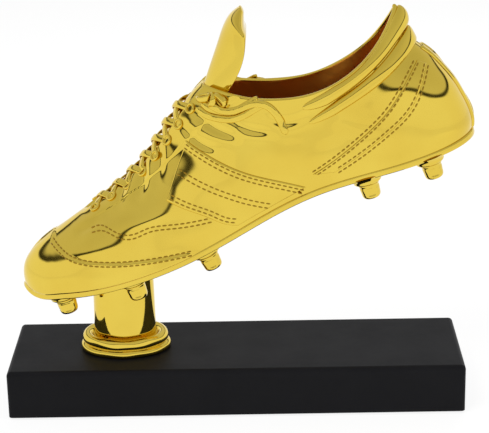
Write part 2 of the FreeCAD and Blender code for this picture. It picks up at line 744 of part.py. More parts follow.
for name, place in zip(("toe", "tread", "ball", "heel_front", "heel_rear"), STUD_PLACES):
    for side_name, side in (("outer", -1), ("inner", 1)):
        NODES[f"stud_{name}_{side_name}"] = lambda place=place, side=side: stud(place, side)

os.makedirs("parts", exist_ok=True)
for node, make in NODES.items():
    shape = make()
    print(node, shape.isValid(), len(shape.Solids), round(shape.Volume / 1000, 2))
    shape.exportStep(f"parts/{node}.step")
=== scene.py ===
import math

import bpy
import numpy as np
from mathutils import Matrix, Vector


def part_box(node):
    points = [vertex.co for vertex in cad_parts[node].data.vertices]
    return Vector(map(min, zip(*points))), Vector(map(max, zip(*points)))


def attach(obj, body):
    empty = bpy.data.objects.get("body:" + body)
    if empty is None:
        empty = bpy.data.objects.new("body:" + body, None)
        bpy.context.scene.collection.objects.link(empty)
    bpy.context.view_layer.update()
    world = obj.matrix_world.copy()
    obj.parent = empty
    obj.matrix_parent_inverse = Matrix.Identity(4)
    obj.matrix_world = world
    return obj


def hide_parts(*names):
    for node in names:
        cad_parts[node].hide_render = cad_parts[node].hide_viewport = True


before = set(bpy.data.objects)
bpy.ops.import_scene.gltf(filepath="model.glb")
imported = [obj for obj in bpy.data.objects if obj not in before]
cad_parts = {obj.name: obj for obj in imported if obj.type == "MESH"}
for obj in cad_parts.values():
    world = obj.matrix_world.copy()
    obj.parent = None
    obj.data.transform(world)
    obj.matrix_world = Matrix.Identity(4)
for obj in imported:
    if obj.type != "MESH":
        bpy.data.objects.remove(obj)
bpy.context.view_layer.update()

MM = 0.001

# ---- the boot's form in millimetres, as (x, height above the block), toe at -x ----
SOLE_LINE = [(-134, 50), (-124, 45.5), (-110, 47.5), (-87, 53.5), (-50, 65), (-25, 75), (0, 87.5),
             (25, 101), (50, 112.5), (75, 121), (100, 128.5), (125, 136.5), (149, 144)]
TOE_LINE = [(-131.5, 46), (-132, 55), (-129.5, 62), (-124.5, 69), (-117, 76), (-107, 83.5), (-96, 91.5),
            (-85, 98), (-74, 106), (-64, 115), (-54, 126), (-46, 137), (-39, 148), (-32, 158.5),
            (-26, 167), (-19, 174)]
RIM_LINE = [(-19, 174), (-8, 172), (8, 169), (25, 168), (42, 169.5), (56, 173.5), (68, 179.5),
            (78, 187), (87.5, 197.5), (94.5, 208.5), (100, 219)]
HEEL_LINE = [(146.5, 140.5), (147, 149), (144.5, 157), (140, 165), (134.5, 174), (128, 182.5), (121, 190),
             (114, 195), (109, 199.5), (106, 206), (103.5, 214), (100, 219)]
# Half girths at eight even steps from toe to heel, on four levels from the sole to the rim.
OUTER_GIRTH = [[50, 52, 51, 43, 31.5, 30.5, 43.5, 57, 62], [50, 52, 47, 36.5, 31, 31, 42, 55, 60],
               [38, 39, 38, 33, 29, 27, 33, 38, 40], [32, 31, 29.7, 27, 25.5, 23, 17.5, 13, 12]]
INNER_GIRTH = [[50, 54, 51, 41, 27.5, 27.5, 42, 57, 62], [50, 52, 47, 36, 29.5, 30, 41, 55, 60],
               [38, 39, 38, 33, 29, 27, 33, 38, 40], [32, 31, 29.7, 27, 25.5, 23, 17.5, 13, 12]]
WALL = 2.6
COLUMN_TOP_RADIUS = 19.0
OVAL = 0.76  # depth over width of the column and its foot
SADDLE_RISE = 1.2
STRAP_RISE = 0.8
HEEL_STRIP_HALF = 5.5
HEEL_STRIP_LEVELS = (0.03, 0.69)
STUD_FLAT = 4.9  # from a stud's axis to each wrench flat
BLOCK_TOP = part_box("base_block")[1][2] / MM
SOLE_THICKNESS = 4.2
SOLE_MARGIN = 0.8

# ---- lines on the boot's sides, in the side view ----
SADDLE_TOP = [(-27, 143), (-9, 133), (12, 124), (30, 119), (45, 114.5)]
SADDLE_LOW = [(-40, 108), (-26, 102), (-13, 97), (-4, 93), (3, 92)]
STRAP_FRONT = [(111.5, 189), (104.5, 178), (93.5, 161), (79, 146), (61, 131), (48, 122)]
STRAP_BACK = [(117.5, 187), (113.5, 175), (108, 163), (96, 150), (77, 134), (62, 123.5)]
TOE_SEAM = [(-113, 77), (-104, 72.5), (-90, 70), (-68, 70.5), (-42, 73.5), (-22, 77)]
VAMP_SEAM = [(-88, 85), (-79, 88.5), (-70, 86), (-63, 85), (-54, 88.5), (-32, 92), (-11, 95.5)]
BOW_LOOP = [(-18, 161.5), (-14, 158.5), (-8, 157), (4, 157.5), (12, 161.5), (20, 166)]
BOW_TAIL = [(-12, 165), (-5, 161.5), (5, 162.5), (15, 166), (23, 164), (30, 155), (33, 148)]
KNOT_PLACES = [(-14, 167), (-9.5, 166.5), (-5, 167)]
STUD_PLACES = [(-108, 15.5), (-64, 25.0), (-19.5, 22.5), (80, 21.5), (117.5, 21.0)]
LACE_ROWS = 7

# ---- the tongue: its front line, then sizes against a share of that line ----
TONGUE_LINE = [(-28, 155), (-23, 163), (-17.8, 170), (-14, 179), (-10.5, 189), (-7, 199),
               (-3.5, 208.5), (0.5, 215), (6, 219.5)]
TONGUE_HALF_WIDTH = [(0, 9), (0.2, 13), (0.4, 18), (0.6, 20.5), (0.8, 19.5), (0.92, 15.5), (1, 6)]
TONGUE_THICKNESS = [(0, 3), (0.3, 5), (0.6, 9), (0.8, 13), (0.92, 12), (1, 5)]
TONGUE_BEND = [(0, 6), (0.3, 11), (0.6, 12), (0.8, 6.5), (0.92, 2), (1, 0)]


class Spline:
    """A natural cubic spline that takes whole arrays."""

    def __init__(self, stations, values):
        self.x = np.array(stations, float)
        self.v = np.array(values, float)
        n, h = len(self.x), np.diff(self.x)
        matrix, right = np.eye(n), np.zeros(n)
        for i in range(1, n - 1):
            matrix[i, i - 1:i + 2] = h[i - 1], 2 * (h[i - 1] + h[i]), h[i]
            right[i] = 6 * ((self.v[i + 1] - self.v[i]) / h[i] - (self.v[i] - self.v[i - 1]) / h[i - 1])
        self.m = np.linalg.solve(matrix, right)

    def __call__(self, t):
        t = np.asarray(t, float)
        i = np.clip(np.searchsorted(self.x, t) - 1, 0, len(self.x) - 2)
        h = self.x[i + 1] - self.x[i]
        a, b = self.x[i + 1] - t, t - self.x[i]
        cubic = (self.m[i] * a ** 3 + self.m[i + 1] * b ** 3) / (6 * h)
        near = self.v[i] / h - self.m[i] * h / 6
        far = self.v[i + 1] / h - self.m[i + 1] * h / 6
        return cubic + near * a + far * b


class Line:
    """A smooth line through (x, z) points, called with a share of its length."""

    def __init__(self, points):
        p = np.array(points, float)
        run = np.concatenate([[0], np.cumsum(np.hypot(*np.diff(p, axis=0).T))])
        self.x = Spline(run / run[-1], p[:, 0])
        self.z = Spline(run / run[-1], p[:, 1])

    def __call__(self, t):
        return self.x(t), self.z(t)


SOLE_HEIGHT = Spline([p[0] for p in SOLE_LINE], [p[1] for p in SOLE_LINE])


def bottom_points():
    xs = np.linspace(TOE_LINE[0][0], HEEL_LINE[0][0], 41)
    points = list(zip(xs, SOLE_HEIGHT(xs) - 2.0))
    points[0], points[-1] = TOE_LINE[0], HEEL_LINE[0]
    return points


BOTTOM, RIM, TOE, HEEL = (Line(points) for points in (bottom_points(), RIM_LINE, TOE_LINE, HEEL_LINE))
LEVELS = [0, 1 / 3, 2 / 3, 1]
LEVEL_SHARE = [Spline(LEVELS, row) for row in np.eye(4)]
GIRTH = {side: [Spline(np.linspace(0, 1, 9), row) for row in rows]
         for side, rows in ((-1, OUTER_GIRTH), (1, INNER_GIRTH))}


def form(around, level, side):
    """Points of the plain boot form, in millimetres above the block. around runs from the toe (0) to the
    heel (1), level from the sole (0) to the rim (1), and side is -1 outside and 1 inside."""
    around, level, side = np.broadcast_arrays(around, level, side)
    s = (1 - np.cos(math.pi * around)) / 2
    flat = []
    for k, (b, r, t, h) in enumerate(zip(BOTTOM(s), RIM(s), TOE(level), HEEL(level))):
        corners = (1 - s) * ((1 - level) * TOE_LINE[0][k] + level * TOE_LINE[-1][k])
        corners = corners + s * ((1 - level) * HEEL_LINE[0][k] + level * HEEL_LINE[-1][k])
        flat.append((1 - level) * b + level * r + (1 - s) * t + s * h - corners)
    girth = 0
    for share, outer, inner in zip(LEVEL_SHARE, GIRTH[-1], GIRTH[1]):
        girth = girth + share(level) * np.where(side < 0, outer(around), inner(around))
    return np.stack([flat[0], side * np.sin(math.pi * around) * girth, flat[1]], -1)


def form_normal(around, level, side):
    """The form's outward unit normals."""
    around, level, side = (np.array(a, float) for a in np.broadcast_arrays(around, level, side))
    d = 1e-3
    mid = np.clip(around, 0.002, 0.998)
    v0, v1 = np.clip(level - d, 0, 1), np.clip(level + d, 0, 1)
    across = form(mid + d, level, side) - form(mid - d, level, side)
    up = form(mid, v1, side) - form(mid, v0, side)
    normal = np.cross(across, up)
    ends = (around < 0.002) | (around > 0.998)
    normal[..., 1] = np.where(ends, 0, normal[..., 1])
    normal /= np.linalg.norm(normal, axis=-1, keepdims=True)
    return normal * -side[..., None]


def bell(distance, width):
    return np.exp(-(distance / width) ** 2)


def step(value, low, high):
    """0 below low, 1 above high, and smooth between them."""
    t = np.clip((value - low) / (high - low), 0, 1)
    return t * t * (3 - 2 * t)


def off_line(points, x, z, samples=40):
    """Distance in the side view from a smooth line, and the share along it of the nearest place."""
    lx, lz = Line(points)(np.linspace(0, 1, samples))
    best = np.full(np.shape(x), 1e9)
    share = np.zeros(np.shape(x))
    for i in range(samples - 1):
        dx, dz = lx[i + 1] - lx[i], lz[i + 1] - lz[i]
        t = np.clip(((x - lx[i]) * dx + (z - lz[i]) * dz) / (dx * dx + dz * dz), 0, 1)
        away = np.hypot(x - lx[i] - t * dx, z - lz[i] - t * dz)
        closer = away < best
        best = np.where(closer, away, best)
        share = np.where(closer, (i + t) / (samples - 1), share)
    return best, share


# Soft creases where the boot flexed: (line, depth, width), drawn in the side view.
CREASES = [
    ([(-96, 84), (-89, 88), (-82, 92)], 0.8, 1.8),
    ([(-66, 124), (-66, 112), (-71, 102)], 0.8, 2.4),
    ([(-57, 131), (-54, 118), (-58, 107)], 0.9, 2.6),
    ([(-46, 142), (-43, 129), (-46, 118)], 0.8, 2.6),
    ([(-20, 158), (-9, 151), (4, 147)], 0.8, 2.8),
    ([(0, 156), (12, 151), (26, 150)], 0.8, 2.8),
    ([(20, 158), (34, 155), (48, 160)], 0.6, 2.6),
    ([(-28, 150), (-20, 143), (-9, 139)], 0.7, 2.4),
    ([(64, 154), (78, 149), (91, 150)], 0.5, 3.2),
]
THROAT_START, THROAT_END = 0.36, 0.97
THROAT_DEPTH = 1.5
FACING_RISE = 0.9  # the two facings that hold the eyelets
FACING_WIDTH = 11.5
RAND_RISE = 0.7  # the band round the toe, below its seam
UNEVENNESS = 0.35


def throat_half(level):
    return 3.0 + 6.5 * step(level, THROAT_START, THROAT_END)


def relief(around, level, side):
    """How far the modelled leather stands above the plain form, in millimetres."""
    p = form(around, level, side)
    x, y, z = p[..., 0], np.abs(p[..., 1]), p[..., 2]
    height = np.zeros(x.shape)
    for number, (points, depth, width) in enumerate(CREASES):
        away, share = off_line(points, x, z)
        fade = np.sin(math.pi * np.clip(share, 0.02, 0.98)) ** 0.6
        uneven = 1 + 0.3 * np.sin(number * 2.3 + side * 1.1)
        height -= depth * uneven * fade * (bell(away, width) - 0.45 * bell(away - 1.7 * width, width))
    front = 1 - step(around, 0.28, 0.40)
    inside = step(level, THROAT_START, THROAT_START + 0.05) * front
    half = throat_half(level)
    height -= THROAT_DEPTH * inside * (1 - step(y, half - 0.6, half + 0.6))
    facing = step(y, half - 0.2, half + 0.8) * (1 - step(y, half + FACING_WIDTH, half + FACING_WIDTH + 1.5))
    height += FACING_RISE * inside * facing
    seam_height = np.interp(x, [p[0] for p in TOE_SEAM], [p[1] for p in TOE_SEAM])
    rand = (1 - step(z - seam_height, -0.7, 0.7)) * step(-x, 18, 32)
    cap = 1 - step(x, -112.5, -111)
    height += RAND_RISE * np.maximum(rand, cap)
    wave = np.sin(x * 0.11 + z * 0.07) * np.sin(z * 0.13 - x * 0.05 + side)
    height += UNEVENNESS * wave * step(z - SOLE_HEIGHT(x), 2, 12)
    return height


def skin(around, level, side, height=0.0):
    """Points at a height above the modelled leather, in metres, in the row frame."""
    around, level, side = np.broadcast_arrays(np.asarray(around, float), level, side)
    rise = relief(around, level, side) + height
    points = form(around, level, side) + form_normal(around, level, side) * rise[..., None]
    points[..., 2] += BLOCK_TOP
    return points * MM


def place(x, z, side):
    """(around, level) of the places on the form seen at (x, z) in the side view."""
    x, z = np.asarray(x, float), np.asarray(z, float)
    u, v = np.full(x.shape, 0.5), np.full(x.shape, 0.5)
    d = 1e-4
    for _ in range(40):
        p, pu, pv = form(u, v, side), form(u + d, v, side), form(u, v + d, side)
        mx, mz = p[..., 0] - x, p[..., 2] - z
        a, b = (pu[..., 0] - p[..., 0]) / d, (pv[..., 0] - p[..., 0]) / d
        c, e = (pu[..., 2] - p[..., 2]) / d, (pv[..., 2] - p[..., 2]) / d
        det = a * e - b * c
        du, dv = (mx * e - mz * b) / det, (mz * a - mx * c) / det
        limit = np.maximum(np.maximum(np.abs(du), np.abs(dv)), 0.1) / 0.1
        u, v = np.clip(u - du / limit, 0.004, 0.996), np.clip(v - dv / limit, 0, 0.999)
    return u, v


def across_place(level, off, side):
    """The place at a distance off centre, straight across the instep from a level on the toe line."""
    level, off = np.broadcast_arrays(np.asarray(level, float), off)
    ridge = form(0, level, side)
    along = form(0, np.minimum(level + 0.01, 1), side) - form(0, level - 0.01, side)
    along /= np.linalg.norm(along, axis=-1, keepdims=True)
    u, v = np.full(level.shape, 0.12), level - 0.02
    d = 1e-4

    def miss(u, v):
        p = form(u, v, side)
        return np.abs(p[..., 1]) - off, ((p - ridge) * along).sum(-1)

    for _ in range(40):
        m, mu, mv = miss(u, v), miss(u + d, v), miss(u, v + d)
        a, b, c, e = (mu[0] - m[0]) / d, (mv[0] - m[0]) / d, (mu[1] - m[1]) / d, (mv[1] - m[1]) / d
        det = a * e - b * c
        du, dv = (m[0] * e - m[1] * b) / det, (m[1] * a - m[0] * c) / det
        limit = np.maximum(np.maximum(np.abs(du), np.abs(dv)), 0.05) / 0.05
        u, v = np.clip(u - du / limit, 0.0, 0.996), np.clip(v - dv / limit, 0, 0.999)
    return u, v


# ---- mesh helpers ----
def grid_faces(rows, columns, close_rows=False, close_columns=False):
    i = np.arange(rows if close_rows else rows - 1)
    j = np.arange(columns if close_columns else columns - 1)
    i, j = np.meshgrid(i, j, indexing="ij")
    i2, j2 = (i + 1) % rows, (j + 1) % columns
    quads = [i * columns + j, i * columns + j2, i2 * columns + j2, i2 * columns + j]
    return np.stack(quads, -1).reshape(-1, 4)


def add_mesh(name, points, faces, material, *nodes, flip=False):
    """A smooth-shaded piece on the root body, which stands for the CAD nodes that are named."""
    points = np.asarray(points, float).reshape(-1, 3)
    faces = np.asarray(faces)
    if flip:
        faces = faces[:, ::-1]
    mesh = bpy.data.meshes.new(name)
    mesh.from_pydata(points.tolist(), [], [list(dict.fromkeys(face)) for face in faces.tolist()])
    mesh.validate()
    mesh.shade_smooth()
    mesh.materials.append(material)
    piece = bpy.data.objects.new(name, mesh)
    bpy.context.collection.objects.link(piece)
    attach(piece, "root")
    if nodes:
        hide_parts(*nodes)
    return piece


def joined(parts):
    """Several (points, faces) as one."""
    points, faces, count = [], [], 0
    for p, f in parts:
        p = np.asarray(p, float).reshape(-1, 3)
        points.append(p)
        faces.append(np.asarray(f) + count)
        count += len(p)
    return np.concatenate(points), np.concatenate(faces)


def tangents(points, closed=False):
    if closed:
        ahead = np.roll(points, -1, 0) - np.roll(points, 1, 0)
    else:
        ahead = np.gradient(points, axis=0)
    return ahead / np.linalg.norm(ahead, axis=-1, keepdims=True)


def smooth_path(points, count):
    """A smooth path through a few 3-D points."""
    p = np.array(points, float)
    run = np.concatenate([[0], np.cumsum(np.linalg.norm(np.diff(p, axis=0), axis=1))])
    t = np.linspace(0, 1, count)
    return np.stack([Spline(run / run[-1], p[:, k])(t) for k in range(3)], -1)


def strap(path, up, width, thick, sides=14, square=0.75, taper=3):
    """A solid flat cord along a path. up is the direction away from what it lies on."""
    t = tangents(path)
    across = np.cross(t, up)
    across /= np.linalg.norm(across, axis=-1, keepdims=True)
    out = np.cross(across, t)
    angle = np.linspace(0, 2 * math.pi, sides, endpoint=False)
    c, s = np.cos(angle), np.sin(angle)
    c, s = np.sign(c) * np.abs(c) ** square, np.sign(s) * np.abs(s) ** square
    n = len(path)
    end = np.minimum(np.arange(n), np.arange(n)[::-1])
    size = np.sqrt(np.clip((end + 0.15) / taper, 0, 1)) if taper else np.ones(n)
    width, thick = np.broadcast_to(width, n) * size, np.broadcast_to(thick, n) * size
    rings = (path[:, None] + across[:, None] * (c * width[:, None] / 2)[..., None]
             + out[:, None] * (s * thick[:, None] / 2)[..., None])
    faces = grid_faces(n, sides, close_columns=True)
    points = rings.reshape(-1, 3)
    caps = []
    for ring, centre in ((0, path[0]), (n - 1, path[-1])):
        middle = len(points)
        points = np.vstack([points, centre])
        for k in range(sides):
            a, b = ring * sides + k, ring * sides + (k + 1) % sides
            caps.append([a, b, middle, middle] if ring else [b, a, middle, middle])
    return points, np.vstack([faces, caps])


def lathe(profile, count=96, squash=1.0):
    """Rings of points round +Z from (radius, height) pairs in millimetres."""
    angle = np.linspace(0, 2 * math.pi, count, endpoint=False)
    r, z = np.array(profile, float).T
    rings = np.stack([r[:, None] * np.cos(angle), r[:, None] * np.sin(angle) * squash,
                      np.broadcast_to(z[:, None], (len(r), count))], -1)
    return rings, grid_faces(len(r), count, close_columns=True)


def rounded(points, per_span=8):
    """More points along a smooth line through (radius, height) pairs."""
    x, z = Line(points)(np.linspace(0, 1, per_span * (len(points) - 1) + 1))
    return np.stack([x, z], -1)


# ---- materials ----
def new_material(name, slot_name):
    material = bpy.data.materials.new(name)
    material.use_nodes = True
    material["slot"] = slot_name
    nodes, links = material.node_tree.nodes, material.node_tree.links
    return material, nodes, links, nodes["Principled BSDF"]


def noise(nodes, links, scale, detail=3.0, roughness=0.5):
    place_node = nodes.new("ShaderNodeTexCoord")
    texture = nodes.new("ShaderNodeTexNoise")
    texture.inputs["Scale"].default_value = scale
    texture.inputs["Detail"].default_value = detail
    texture.inputs["Roughness"].default_value = roughness
    links.new(place_node.outputs["Object"], texture.inputs["Vector"])
    return texture


def ramp(nodes, links, source, low, high, low_value, high_value):
    spread = nodes.new("ShaderNodeMapRange")
    spread.inputs["From Min"].default_value = low
    spread.inputs["From Max"].default_value = high
    spread.inputs["To Min"].default_value = low_value
    spread.inputs["To Max"].default_value = high_value
    links.new(source, spread.inputs["Value"])
    return spread.outputs["Result"]


def mixed(nodes, links, share, first, second):
    mix = nodes.new("ShaderNodeMix")
    mix.data_type = "RGBA"
    mix.inputs["A"].default_value = (*first, 1)
    mix.inputs["B"].default_value = (*second, 1)
    links.new(share, mix.inputs["Factor"])
    return mix.outputs["Result"]


def bumped(nodes, links, shader, height, strength, distance):
    bump = nodes.new("ShaderNodeBump")
    bump.inputs["Strength"].default_value = strength
    bump.inputs["Distance"].default_value = distance
    links.new(height, bump.inputs["Height"])
    links.new(bump.outputs["Normal"], shader.inputs["Normal"])


def gold(name, smooth, tint=(0.78, 0.58, 0.085), grain=0.0):
    """Bright electroplate over leather: slight waves, a faint bloom and small changes of colour."""
    material, nodes, links, shader = new_material(name, "gold_plate")
    shader.inputs["Metallic"].default_value = 1.0
    shader.inputs["Specular IOR Level"].default_value = 0.5
    cloud = noise(nodes, links, 28.0, 4.0)
    dark = tuple(c * k for c, k in zip(tint, (0.95, 0.92, 0.85)))
    links.new(mixed(nodes, links, ramp(nodes, links, cloud.outputs["Fac"], 0.35, 0.65, 0, 1), dark, tint),
              shader.inputs["Base Color"])
    bloom = noise(nodes, links, 90.0, 5.0, 0.6)
    roughness = ramp(nodes, links, bloom.outputs["Fac"], 0.35, 0.70, smooth, smooth + 0.05)
    links.new(roughness, shader.inputs["Roughness"])
    wave = noise(nodes, links, 170.0 if grain else 55.0, 2.0, 0.5)
    bumped(nodes, links, shader, wave.outputs["Fac"], 0.22 + grain, 0.0005)
    return material


def black_lacquer():
    """Satin black lacquer on wood, with faint pores and dust."""
    material, nodes, links, shader = new_material("black_lacquer", "black_lacquer")
    cloud = noise(nodes, links, 40.0, 6.0, 0.6)
    links.new(mixed(nodes, links, cloud.outputs["Fac"], (0.004, 0.004, 0.005), (0.008, 0.008, 0.009)),
              shader.inputs["Base Color"])
    shader.inputs["Specular IOR Level"].default_value = 0.08
    links.new(ramp(nodes, links, cloud.outputs["Fac"], 0.3, 0.7, 0.42, 0.52), shader.inputs["Roughness"])
    pores = noise(nodes, links, 900.0, 2.0)
    bumped(nodes, links, shader, pores.outputs["Fac"], 0.10, 0.0002)
    return material


def felt():
    material, nodes, links, shader = new_material("felt", "felt")
    fibre = noise(nodes, links, 2500.0, 4.0, 0.7)
    links.new(mixed(nodes, links, fibre.outputs["Fac"], (0.010, 0.010, 0.011), (0.035, 0.035, 0.037)),
              shader.inputs["Base Color"])
    shader.inputs["Roughness"].default_value = 0.95
    shader.inputs["Sheen Weight"].default_value = 0.4
    bumped(nodes, links, shader, fibre.outputs["Fac"], 0.6, 0.0005)
    return material


def turned_metal(name, slot_name, colour, rough):
    material, nodes, links, shader = new_material(name, slot_name)
    shader.inputs["Metallic"].default_value = 1.0
    cloud = noise(nodes, links, 300.0, 4.0)
    dark = tuple(c * 0.8 for c in colour)
    links.new(mixed(nodes, links, cloud.outputs["Fac"], dark, colour), shader.inputs["Base Color"])
    roughness = ramp(nodes, links, cloud.outputs["Fac"], 0.3, 0.7, rough, rough + 0.12)
    links.new(roughness, shader.inputs["Roughness"])
    bumped(nodes, links, shader, cloud.outputs["Fac"], 0.1, 0.0002)
    return material


GOLD = gold("gold_leather", 0.05)
GOLD_CLOTH = gold("gold_cord", 0.10, grain=0.2)
GOLD_CAST = gold("gold_cast", 0.04)
# The thread gold is darker and browner than the leather gold: painted shade in the stitch holes, on thread
# plated like the rest.
GOLD_THREAD_PAINTED_SHADE = gold("gold_thread_painted_shade", 0.25, tint=(0.40, 0.25, 0.03))
# The lining gold is a deeper, darker orange: painted shade and painted gold-on-gold reflection inside the
# cavity. Its higher roughness is only roughness.
LINING_PAINTED_SHADE = gold("gold_lining_painted_shade", 0.40, tint=(0.85, 0.36, 0.05), grain=0.2)
LACQUER = black_lacquer()
FELT = felt()
STEEL = turned_metal("zinc_steel", "zinc_steel", (0.55, 0.56, 0.58), 0.30)
BRASS = turned_metal("insert_brass", "insert_brass", (0.70, 0.52, 0.22), 0.28)


# ---- the boot ----
AROUND_STEPS = 300
OUTER_RINGS = 150
INNER_RINGS = 50


def ring_places(steps):
    """(around, side) for a closed ring: out along the outer side and back along the inner side."""
    out = np.arange(steps + 1) / steps
    around = np.concatenate([out, out[-2:0:-1]])
    side = np.concatenate([-np.ones(steps + 1), np.ones(steps - 1)])
    return around, side


def upper():
    """The hollow boot: leather outside, a rolled rim, and a lining inside in a deeper orange gold, which is
    painted shade and painted reflected gold of the cavity.
    """
    around, side = ring_places(AROUND_STEPS)
    rings = []
    for level in np.linspace(0.01, 1, OUTER_RINGS):
        rings.append(skin(around, level, side))
    edge = skin(around, 1.0, side)
    normal = form_normal(around, 1.0, side)
    up = edge - skin(around, 0.985, side)
    up /= np.linalg.norm(up, axis=-1, keepdims=True)
    half = WALL * MM / 2
    for angle in np.linspace(0, math.pi, 9)[1:-1]:
        rings.append(edge - normal * half * (1 - math.cos(angle)) + up * half * math.sin(angle))
    for level in np.linspace(1, 0.01, INNER_RINGS):
        form_ring = form(around, level, side)
        form_ring = form_ring - form_normal(around, level, side) * WALL
        shut = 0.4 * np.abs(form(around, level, side)[..., 1])
        form_ring[..., 1] = side * np.maximum(side * form_ring[..., 1], shut)
        form_ring[..., 2] += BLOCK_TOP
        rings.append(form_ring * MM)
    rings = np.array(rings)
    faces = grid_faces(len(rings), rings.shape[1], close_rows=True, close_columns=True)
    piece = add_mesh("boot_upper", rings, faces, GOLD, "upper", flip=True)
    # The inner faces take the orange lining gold, which is painted shade of the cavity.
    piece.data.materials.append(LINING_PAINTED_SHADE)
    first_inside = (len(rings) - INNER_RINGS) * rings.shape[1]
    inside = np.arange(len(piece.data.polygons)) >= first_inside
    piece.data.polygons.foreach_set("material_index", inside.astype(int))


def panel(name, low, high, side, rise, node, edge=1.2):
    """A leather overlay between two lines, with rounded edges."""
    rows, columns = 110, 70
    t, s = np.meshgrid(np.linspace(0, 1, rows), np.linspace(0, 1, columns), indexing="ij")
    (lx, lz), (hx, hz) = Line(low)(t), Line(high)(t)
    x, z = lx + (hx - lx) * s, lz + (hz - lz) * s
    around, level = place(x, z, side)
    points = skin(around, level, side)
    width = np.linalg.norm(points[:, 1:] - points[:, :-1], axis=-1).sum(1, keepdims=True) / MM
    length = np.linalg.norm(points[1:] - points[:-1], axis=-1).sum(0, keepdims=True) / MM
    rim = np.minimum(np.minimum(s, 1 - s) * width, np.minimum(t, 1 - t) * length)
    share = np.clip(rim / edge, 0, 1)
    height = -0.4 + (rise + 0.4) * np.sqrt(share * (2 - share))
    top = skin(around, level, side, height)
    under = skin(around, level, side, -0.5)
    sheets = np.concatenate([top.reshape(-1, 3), under.reshape(-1, 3)])
    count = rows * columns
    faces = grid_faces(rows, columns)
    border = list(range(columns)) + [i * columns + columns - 1 for i in range(1, rows)]
    border += [(rows - 1) * columns + j for j in range(columns - 2, -1, -1)]
    border += [i * columns for i in range(rows - 2, 0, -1)]
    ring = np.array(border)
    after = np.roll(ring, -1)
    walls = np.stack([after, ring, ring + count, after + count], -1)
    faces = np.concatenate([faces, faces[:, ::-1] + count, walls])
    add_mesh(name, sheets, faces, GOLD, node, flip=side < 0)


def along_side(points, side, height, count=160):
    """A path on the leather along a side-view line, and the directions away from the leather."""
    x, z = Line(points)(np.linspace(0, 1, count))
    around, level = place(x, z, side)
    return skin(around, level, side, height), form_normal(around, level, side)


def beside(points, shift):
    """A side-view line, moved sideways."""
    x, z = Line(points)(np.linspace(0, 1, 9))
    dx, dz = np.gradient(x), np.gradient(z)
    length = np.hypot(dx, dz)
    return list(zip(x - dz / length * shift, z + dx / length * shift))


def stitches(path, up, pitch=3.6, length=2.8, width=1.0, height=0.5):
    """Rows of raised thread ends along a path, as one mesh."""
    run = np.concatenate([[0], np.cumsum(np.linalg.norm(np.diff(path, axis=0), axis=1))]) / MM
    ahead = tangents(path)
    parts = []
    rings = [(-0.5, 0.15), (-0.38, 0.75), (-0.15, 1.0), (0.15, 1.0), (0.38, 0.75), (0.5, 0.15)]
    angle = np.linspace(0, 2 * math.pi, 8, endpoint=False)
    for middle in np.arange(pitch, run[-1] - pitch / 2, pitch):
        centre = np.array([np.interp(middle, run, path[:, k]) for k in range(3)])
        t = np.array([np.interp(middle, run, ahead[:, k]) for k in range(3)])
        u = np.array([np.interp(middle, run, up[:, k]) for k in range(3)])
        t /= np.linalg.norm(t)
        across = np.cross(t, u)
        across /= np.linalg.norm(across)
        out = np.cross(across, t)
        shape = []
        for share, size in rings:
            wide = across * np.cos(angle)[:, None] * width / 2
            ring = (wide + out * np.sin(angle)[:, None] * height) * size
            shape.append(centre + t * share * length * MM + ring * MM)
        parts.append((np.array(shape), grid_faces(len(rings), 8, close_columns=True)))
    return joined(parts)


def seams():
    """Sewn lines on both sides: thread rows along the panels, the toe and the vamp."""
    on_saddle, on_strap, on_leather = SADDLE_RISE - 0.05, STRAP_RISE, 0.05
    parts = []
    for side in (-1, 1):
        rows = []
        for line, way in ((SADDLE_TOP, -1), (SADDLE_LOW, 1)):
            rows += [(beside(line, way * 2.2), on_saddle), (beside(line, way * 4.6), on_saddle)]
        middle = [((a[0] + b[0]) / 2, (a[1] + b[1]) / 2) for a, b in zip(SADDLE_TOP, SADDLE_LOW)]
        rows += [(beside(middle, 1.5), on_saddle), (beside(middle, -1.5), on_saddle)]
        rows += [(beside(STRAP_FRONT, 1.5), on_strap), (beside(STRAP_FRONT, -1.4), on_leather)]
        rows += [(beside(STRAP_BACK, -1.5), on_strap), (beside(STRAP_BACK, 1.4), on_leather)]
        rows += [(beside(TOE_SEAM, 1.2), on_leather), (beside(TOE_SEAM, -1.4), on_leather)]
        rows += [(beside(VAMP_SEAM, 0.0), on_leather), (beside(VAMP_SEAM, 2.4), on_leather)]
        for line, height in rows:
            path, up = along_side(line, side, height)
            parts.append(stitches(path, up))
    points, faces = joined(parts)
    # The threads take the darker gold, which is painted shade.
    add_mesh("seam_threads", points, faces, GOLD_THREAD_PAINTED_SHADE)


def collar(name, node, level, spread, rise, front):
    """A padded roll round the back of the rim."""
    count, sides = 260, 20
    t = np.linspace(-1, 1, count)
    side = np.where(t < 0, -1.0, 1.0)
    around = 1 - np.abs(t) * (1 - front)
    taper = np.sqrt(np.clip((1 - np.abs(t)) * 7, 0.0, 1)) * 0.97 + 0.03
    rings = []
    for angle in np.linspace(0, 2 * math.pi, sides, endpoint=False):
        lev = np.clip(level + spread * taper * math.cos(angle), 0, 1)
        height = rise * taper * (math.sin(angle) * 0.75 + 0.25)
        rings.append(skin(around, lev, side, height))
    rings = np.transpose(np.array(rings), (1, 0, 2))
    add_mesh(name, rings, grid_faces(count, sides, close_columns=True), GOLD, node, flip=True)


